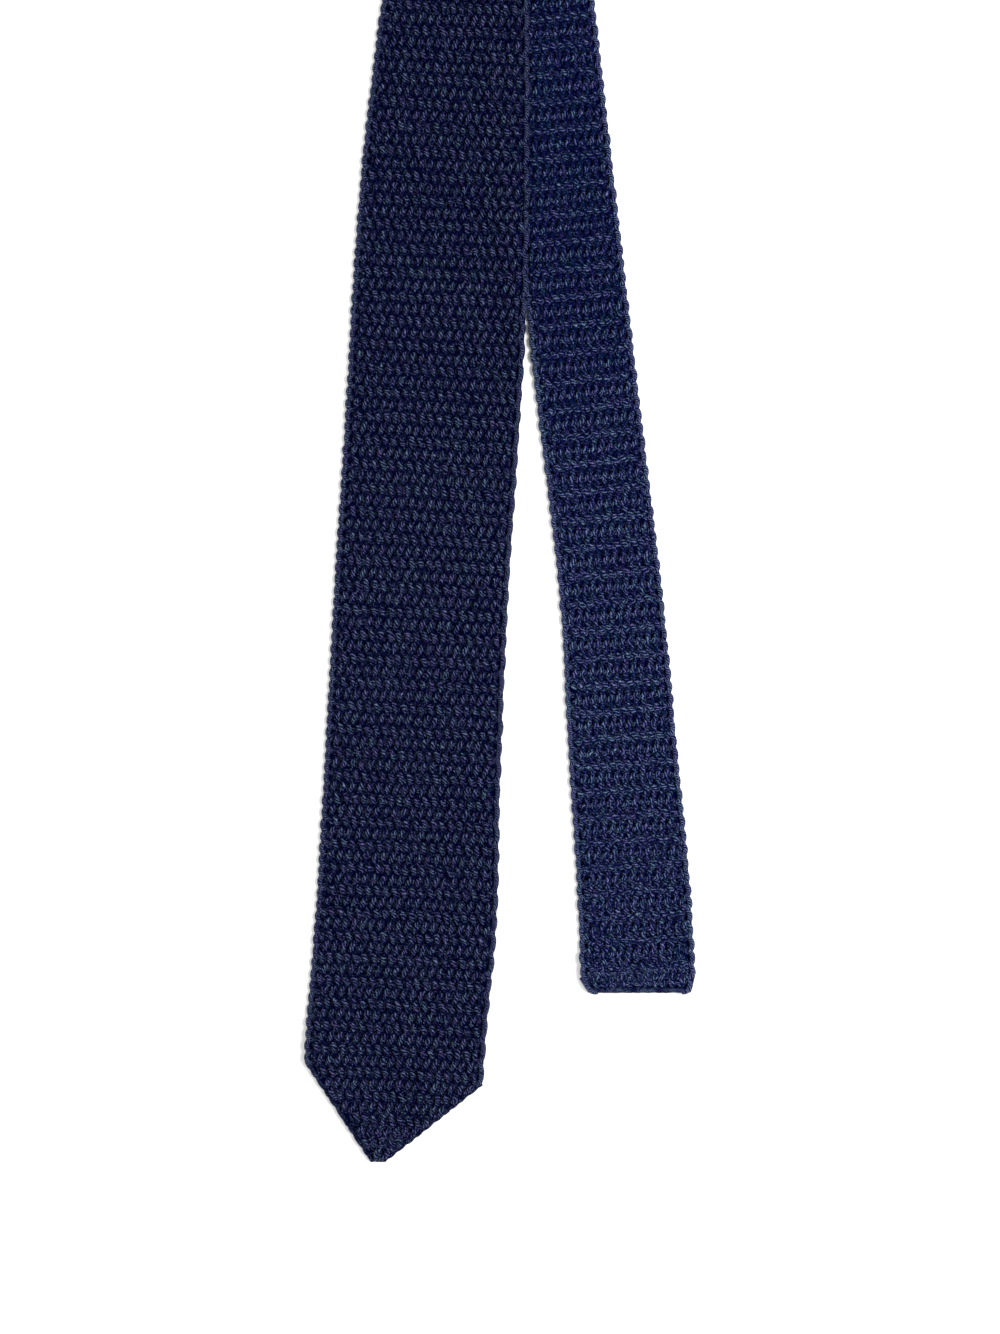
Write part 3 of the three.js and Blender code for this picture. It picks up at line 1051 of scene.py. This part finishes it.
@dataclass
class EdgeYarns:
    """The yarns of one long edge: turns that swell past it, over a sunk one that runs along it."""

    leg: Leg
    side: Side
    turn_every: float
    sunk_radius: float = 0.95
    sunk_depth: float = 1.35
    sunk_step: float = 2.4
    sunk_out: float = -0.1
    # Painted shade: the sunk yarn under the turns is painted dark.
    sunk_painted_shade: float = -0.2
    twist: float = 1.3
    jitter: tuple[float, float, float] = (0.30, 0.35, 0.30)
    # The turns are painted light, and lighter the further in from the edge they lie, so the outer rim is
    # darker: painted light and painted shade.
    shade: float = 0.95
    rim_painted_shade: float = 0.20
    inward_from: float = 0.9
    loose_shade: float = 0.6
    loose_tint: float = 0.06
    least_size: float = 0.92
    loose_size: float = 0.16
    swell: float = 0.35

    def point(self, shape: TieShape, y: np.ndarray, depth: np.ndarray, out: np.ndarray) -> np.ndarray:
        """Place points by their depth from the edge."""
        edge = shape.edges(self.leg, np.minimum(y, shape.front_length))[(self.side.value + 1) // 2]
        return shape.raise_up(self.leg, edge - self.side.value * depth, y, out)

    def lay(self, mesh: YarnMesh, shape: TieShape, start: float, stop: float,
            rng: np.random.Generator, plain: bool) -> None:
        """Lay the yarns along the edge.

        Args:
            mesh: what collects the yarn.
            shape: the strip's outline and lay.
            start: where they start along the leg.
            stop: where they stop.
            rng: seeded source of small unevenness.
            plain: whether the turns are laid with fewer faces.
        """
        y = np.linspace(start, stop, int((stop - start) / self.sunk_step))
        level = np.ones(len(y))
        path = self.point(shape, y, level * self.sunk_depth, level * self.sunk_out)
        mesh.add(path, self.sunk_radius, 6, level * self.sunk_painted_shade, level * 0.5, 0.0, self.twist)
        way = np.array(TURN)
        foot = start
        while foot + 0.5 * self.turn_every < stop:
            size = self.turn_every * (self.least_size + self.loose_size * rng.random())
            loose = (rng.random((3, len(way))) - 0.5) * np.array(self.jitter)[:, None]
            chance = self.loose_shade * (rng.random(len(way)) - 0.5)
            # Painted shade towards the outer rim, with chance tone that differs at random.
            shade = self.shade + self.rim_painted_shade * (way[:, 0] - self.inward_from) + chance
            tint = np.full(len(way), 0.5 + self.loose_tint * (rng.random() - 0.5))
            up = np.minimum(foot + way[:, 1] * size + loose[1], stop)
            swell = self.swell * (rng.random() - 0.5)
            knots = np.stack([up, way[:, 0] + 0.5 * loose[0] + swell, way[:, 2] + loose[2],
                              way[:, 3], shade, tint], axis=1)
            curve = smooth_path(knots, 1 if plain else 2)
            path = self.point(shape, curve[:, 0], curve[:, 1], curve[:, 2])
            mesh.add(path, curve[:, 3], 6, np.clip(curve[:, 4], 0, 1), curve[:, 5],
                     rng.random() * 5, self.twist)
            foot += size


@dataclass
class EndYarn:
    """A yarn along a leg's free end, where its knit turns under."""

    leg: Leg
    radius: float
    depth: float
    out: float
    shade: float
    twist: float
    knob: float
    knob_every: float = 4.4
    knob_level: float = 0.6
    step: float = 1.1
    loose_out: float = 0.15
    loose_shade: float = 0.3
    loose_size: float = 0.08
    loose_tint: float = 0.03

    def lay(self, mesh: YarnMesh, shape: TieShape, rng: np.random.Generator) -> None:
        """Lay the yarn round the end from edge to edge, knobbly where stitches swell past it.

        Args:
            mesh: what collects the yarn.
            shape: the strip's outline and lay.
            rng: seeded source of small unevenness.
        """
        corners = inset_line(shape.end_corners(self.leg), self.depth)
        path = np.concatenate([
            np.linspace(a, b, max(int(np.hypot(*(b - a)) / self.step), 2))[:-1]
            for a, b in zip(corners[:-1], corners[1:])
        ] + [corners[-1:]])
        count = len(path)
        run = np.gradient(path, axis=0)
        run /= np.linalg.norm(run, axis=1)[:, None]
        along = np.linalg.norm(np.diff(path, axis=0, prepend=path[:1]), axis=1).cumsum()
        outward = np.stack([run[:, 1], -run[:, 0]], axis=1)
        swell = np.abs(np.sin(math.pi * along / self.knob_every + smooth_noise(rng, count, 6)))
        path = path + (self.knob * (swell - self.knob_level))[:, None] * outward
        wave = smooth_noise(rng, count, 2)
        n = self.out + self.loose_out * wave
        space = shape.raise_up(self.leg, path[:, 0], path[:, 1], n)
        shade = self.shade + self.loose_shade * smooth_noise(rng, count, 2)
        size = self.radius * (1 + self.loose_size * wave)
        tint = 0.5 + self.loose_tint * smooth_noise(rng, count, 4)
        mesh.add(space, size, 7, np.clip(shade, 0, 1), tint, 0.0, self.twist)


@dataclass
class KnitPart:
    """A length of the tie: its rows, edges, end and packed yarn."""

    node: str
    knit: KnitLeg
    slot: str
    start: float
    stop: float
    held: str = "laid"
    bands: int = 1
    plain: bool = False
    ends: tuple[EndYarn, ...] = ()
    stands_for_node: bool = True

    def build(self, rng: np.random.Generator) -> list[bpy.types.Object]:
        """Make the pieces.

        Args:
            rng: seeded source of the knit's unevenness.

        Returns:
            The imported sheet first, then the yarn pieces.
        """
        knit, shape = self.knit, self.knit.shape
        first, last = np.searchsorted(knit.feet, (self.start - 1e-6, self.stop - 1e-6))
        pieces = []
        for band in np.array_split(np.arange(first, last), self.bands):
            mesh = YarnMesh(f"{self.node}_rows_{len(pieces) + 1}")
            for row in band:
                knit.lay_row(mesh, int(row), rng, self.plain)
            pieces.append(mesh.build())
        mesh = YarnMesh(f"{self.node}_edges")
        for side, every in ((Side.LEFT, knit.turn_left), (Side.RIGHT, knit.turn_right)):
            start = self.start
            if start == 0.0:
                start = shape.left_shoulder if side is Side.LEFT else shape.right_shoulder
            EdgeYarns(knit.leg, side, every).lay(mesh, shape, start, self.stop, rng, self.plain)
        for end in self.ends:
            end.lay(mesh, shape, rng)
        pieces.append(mesh.build())
        sheet = PackedSheet(f"{self.node}_inside", knit.leg, self.start, self.stop)
        inside, area = sheet.build(shape)
        return [inside, *pieces]

    def dress(self, pieces: list[bpy.types.Object], silk: bpy.types.Material,
              packed: bpy.types.Material) -> None:
        """Give the pieces their finishes and their places in the model.

        Args:
            pieces: what build returned.
            silk: the yarn's finish.
            packed: the finish of the yarn inside.
        """
        for piece in pieces:
            dress_piece(piece, packed if piece is pieces[0] else silk, self.slot)
        if self.stands_for_node:
            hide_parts(self.node)


@dataclass
class Hem:
    """A strip of the knit turned under along one line of an end."""

    node: str
    leg: Leg
    line: tuple[int, int]
    radius: float = 0.68
    spacing: float = 1.25
    step: float = 1.6
    loose_height: float = 0.05
    shade: float = 0.4
    loose_shade: float = 0.3

    def build(self, shape: TieShape, rng: np.random.Generator) -> bpy.types.Object:
        """Lay the strip's yarns side by side under the knit.

        Args:
            shape: the strip's outline and lay.
            rng: seeded source of small unevenness.

        Returns:
            The piece.
        """
        corners = shape.end_corners(self.leg)
        start, stop = corners[self.line[0]], corners[self.line[1]]
        along = (stop - start) / np.hypot(*(stop - start))
        inward = np.array([-along[1], along[0]])
        mesh = YarnMesh(f"{self.node}_rows")
        lanes = int((shape.hem_width - 2 * self.radius) / self.spacing) + 1
        for lane in range(lanes):
            depth = shape.hem_inset + self.radius + lane * self.spacing
            reach = np.arange(0.0, np.hypot(*(stop - start)), self.step)
            points = start + along * reach[:, None] + inward * depth
            points = points[self.clear(shape, points)]
            if len(points) < 4:
                continue
            count = len(points)
            z = np.full(count, shape.hem / 2) + self.loose_height * smooth_noise(rng, count, 2)
            space = np.stack([points[:, 0] + shape.offset[0], points[:, 1] + shape.offset[1], z], axis=1)
            shade = self.shade + self.loose_shade * smooth_noise(rng, count, 2)
            mesh.add(space * MM, self.radius, 6, np.clip(shade, 0, 1), np.full(count, 0.5), float(lane))
        return mesh.build()

    def clear(self, shape: TieShape, points: np.ndarray) -> np.ndarray:
        """Tell which points lie inside the end and clear of the other hem.

        Args:
            shape: the strip's outline and lay.
            points: plan points.

        Returns:
            One truth value a point.
        """
        margin = shape.hem_inset + self.radius
        left, right = shape.edges(self.leg, points[:, 1])
        inside = (points[:, 0] > left + margin) & (points[:, 0] < right - margin)
        if self.leg is Leg.TAIL:
            return inside
        corners = shape.end_corners(self.leg)
        other = (2, 3) if self.line[0] == 0 else (0, 1)
        own = line_distance(points, corners[self.line[0]], corners[self.line[1]])
        return inside & (own + self.radius < line_distance(points, corners[other[0]], corners[other[1]]))

    def dress(self, piece: bpy.types.Object, silk: bpy.types.Material) -> None:
        """Give the piece its finish and its place in the model."""
        dress_piece(piece, silk, "hem_knit")
        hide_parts(self.node)


@dataclass
class Tie:
    """The whole tie, built part by part."""

    shape: TieShape
    seed: int = 7

    def parts(self) -> list[KnitPart]:
        """The lengths that the tie is built in, from the tip round to the square end."""
        shape = self.shape
        front = KnitLeg(Leg.FRONT, shape, stitch_width=3.47, row_heights=FRONT_ROW_HEIGHTS,
                        row_light=0.65, odd_slide=0.45, edge_inset=3.1, turn_left=4.6, turn_right=8.6,
                        painted_row_shade=0.58, end_margin=0.8, deeper=0.24, calm=0.58, calm_length=22.0)
        tail = KnitLeg(Leg.TAIL, shape, stitch_width=3.25, row_heights=TAIL_ROW_HEIGHTS,
                       row_light=0.15, odd_slide=0.25, edge_inset=3.0, turn_left=5.3, turn_right=5.3,
                       painted_row_shade=0.12, end_margin=2.5, deeper=0.34, calm=0.45, calm_length=75.0)
        seam, fold = shape.front_length - shape.seam_from_fold, shape.front_length
        tip_yarn = EndYarn(Leg.FRONT, radius=0.95, depth=0.95, out=0.0, shade=0.20, twist=1.5, knob=0.5)
        tail_yarn = EndYarn(Leg.TAIL, radius=1.1, depth=0.75, out=0.2, shade=0.45, twist=2.4, knob=0.15)
        # Painted shade: a thin yarn under the square end's edge, painted darkest.
        tail_painted_shade_rim = EndYarn(Leg.TAIL, radius=0.5, depth=0.1, out=-0.9, shade=-0.3, twist=1.5, knob=0.0)
        return [
            KnitPart("front_blade", front, "front_knit", 0.0, seam, bands=3, ends=(tip_yarn,)),
            KnitPart("neck_band", front, "neck_knit", seam, fold + shape.bend_length, held="folded",
                     plain=True),
            KnitPart("neck_band_under", tail, "neck_knit", seam, fold, plain=True,
                     stands_for_node=False),
            KnitPart("tail_blade", tail, "tail_knit", shape.tail_end, seam, bands=2,
                     ends=(tail_yarn, tail_painted_shade_rim)),
        ]

    def hems(self) -> list[Hem]:
        """The turned-under strips of both ends."""
        return [
            Hem("tip_hem_left", Leg.FRONT, (0, 1)),
            Hem("tip_hem_right", Leg.FRONT, (2, 3)),
            Hem("tail_hem", Leg.TAIL, (1, 2)),
        ]

    def build(self, face: bpy.types.Material, reverse: bpy.types.Material,
              packed: bpy.types.Material) -> None:
        """Build and dress every part.

        Args:
            face: the yarn's finish on the right side.
            reverse: the yarn's finish on the reverse.
            packed: the finish of the yarn inside.
        """
        rng = np.random.default_rng(self.seed)
        for part in self.parts():
            silk = face if part.knit.leg is Leg.FRONT else reverse
            part.dress(part.build(rng), silk, packed)
        for hem in self.hems():
            hem.dress(hem.build(self.shape, rng), reverse)


# Studio


def studio(paper: bpy.types.Material) -> None:
    """Lay the floor and light it softly from above, most from the right.

    Args:
        paper: the floor's finish.
    """
    side, sky_light = 6.0, 0.74
    mesh = bpy.data.meshes.new("floor")
    corners = [(-side, -side, 0.0), (side, -side, 0.0), (side, side, 0.0), (-side, side, 0.0)]
    mesh.from_pydata(corners, [], [(0, 1, 2, 3)])
    mesh.materials.append(paper)
    floor = put_in_scene("floor", mesh)
    world = bpy.data.worlds.new("studio")
    world.use_nodes = True
    sky = world.node_tree.nodes["Background"]
    sky.inputs[0].default_value = (1.0, 1.0, 1.0, 1.0)
    sky.inputs[1].default_value = sky_light
    bpy.context.scene.world = world
    for name, place, size, power in (
        ("key", (0.75, -0.20, 1.4), 0.7, 29.0),
        ("fill", (-1.2, 0.3, 1.6), 1.4, 11.0),
    ):
        lamp = bpy.data.lights.new(name, "AREA")
        lamp.size = size
        lamp.energy = power
        thing = put_in_scene(name, lamp)
        thing.location = place
        thing.rotation_euler = (-Vector(place)).to_track_quat("-Z", "Y").to_euler()


def camera(shape: TieShape) -> None:
    """Set the camera straight above the tie, at the photograph's scale and framing.

    Args:
        shape: the strip's outline, which the framing is taken from.
    """
    lens, sensor = 100.0, 36.0
    blade_px = 178.7
    tip_px, left_px = 1162.0, 308.0
    scale = shape.blade_width / blade_px
    low = np.array(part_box("front_blade")[0]) / MM
    centre = (low[0] + (PHOTO_WIDTH / 2 - left_px) * scale, low[1] + (tip_px - PHOTO_HEIGHT / 2) * scale)
    data = bpy.data.cameras.new("photo_view")
    data.lens = lens
    data.sensor_width = sensor
    data.sensor_fit = "AUTO"
    data.dof.use_dof = False
    view = put_in_scene("photo_view", data)
    height = PHOTO_HEIGHT * scale * lens / sensor
    view.location = (centre[0] * MM, centre[1] * MM, (height + shape.knit) * MM)
    bpy.context.scene.camera = view


def main() -> None:
    """Build the tie, the floor, the lights and the camera."""
    logging.basicConfig(level=logging.INFO, format="%(name)s: %(message)s")
    shape = TieShape()
    camera(shape)
    studio(MattePaper("matte_white_paper", "#ffffff").build())
    # The deep and groove colours of both yarns stand partly for painted shade.
    face = PliedSilk("navy_silk_yarn_plied_right_side", "#464f6d", "#010826", "#000328").build()
    reverse = PliedSilk("navy_silk_yarn_plied_reverse", "#566284", "#051031", "#000734",
                        fibre_spread=0.65).build()
    # The packed yarn's colour is painted shade, far darker than the yarn's navy.
    packed = PackedYarn("navy_silk_yarn_packed_painted_shade", "#01073c").build()
    Tie(shape).build(face, reverse, packed)
    bpy.context.scene.view_settings.view_transform = "Standard"


if __name__ == "__main__":
    main()
